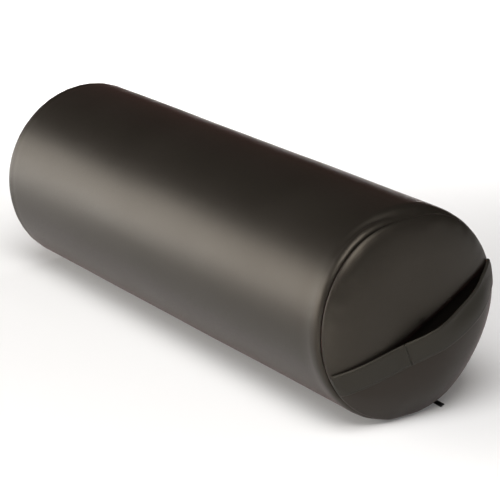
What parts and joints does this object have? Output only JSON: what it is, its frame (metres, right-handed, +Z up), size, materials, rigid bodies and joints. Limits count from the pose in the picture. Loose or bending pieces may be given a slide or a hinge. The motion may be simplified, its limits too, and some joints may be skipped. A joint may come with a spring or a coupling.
{
  "type": "bolster pillow",
  "caption": "Round padded bolster pillow in black leathercloth, with a half-moon hand pocket over one end and a lengthwise zip along its underside.",
  "frame": {"origin": "under the middle of the whole object, on the plane that it rests on", "axes": "+X along the roll towards the hand pocket end, +Z up"},
  "size_m": [0.7162, 0.2286, 0.2256],
  "materials": {
    "leather_black": "satin, very fine grain leathercloth",
    "leather_hem": "satin, very fine grain leathercloth strip",
    "thread_black": "twisted polyester thread",
    "foam": "open-cell foam",
    "wadding": "loose polyester fibre",
    "liner_cloth": "thin non-woven cloth",
    "zip_cloth": "woven zip tape",
    "zip_nylon": "nylon zip coil",
    "zip_metal": "black enamelled die casting"
  },
  "bodies": {
    "roll": {"foam_core": "foam", "wadding_wrap": "wadding", "end_pad_near": "wadding", "end_pad_far": "wadding", "core_liner": "liner_cloth", "barrel_panel": "leather_black", "end_panel_near": "leather_black", "end_panel_far": "leather_black", "pocket_panel": "leather_black", "pocket_hem_left": "leather_hem", "pocket_hem_right": "leather_hem", "hem_stitch": "thread_black", "seam_cord_near": "thread_black", "seam_cord_far": "thread_black", "zip_tape_left": "zip_cloth", "zip_tape_right": "zip_cloth", "zip_teeth_left": "zip_nylon", "zip_teeth_right": "zip_nylon", "zip_stitch_left": "thread_black", "zip_stitch_right": "thread_black", "zip_stop_near": "zip_metal", "zip_stop_far": "zip_metal"},
    "slider": {"zip_slider": "zip_metal"},
    "pull": {"zip_pull": "zip_metal"}
  },
  "joints": [
    {"name": "zip_slide", "type": "slide", "parent": "roll", "child": "slider", "axis": [1, 0, 0], "range_m": [-0.63, 0]},
    {"name": "pull_swing", "type": "hinge", "parent": "slider", "child": "pull", "pos_m": [0.29977, 0.04618, 0.0025], "axis": [0, 0.9205, 0.3907], "range_deg": [-10, 186]}
  ]
}
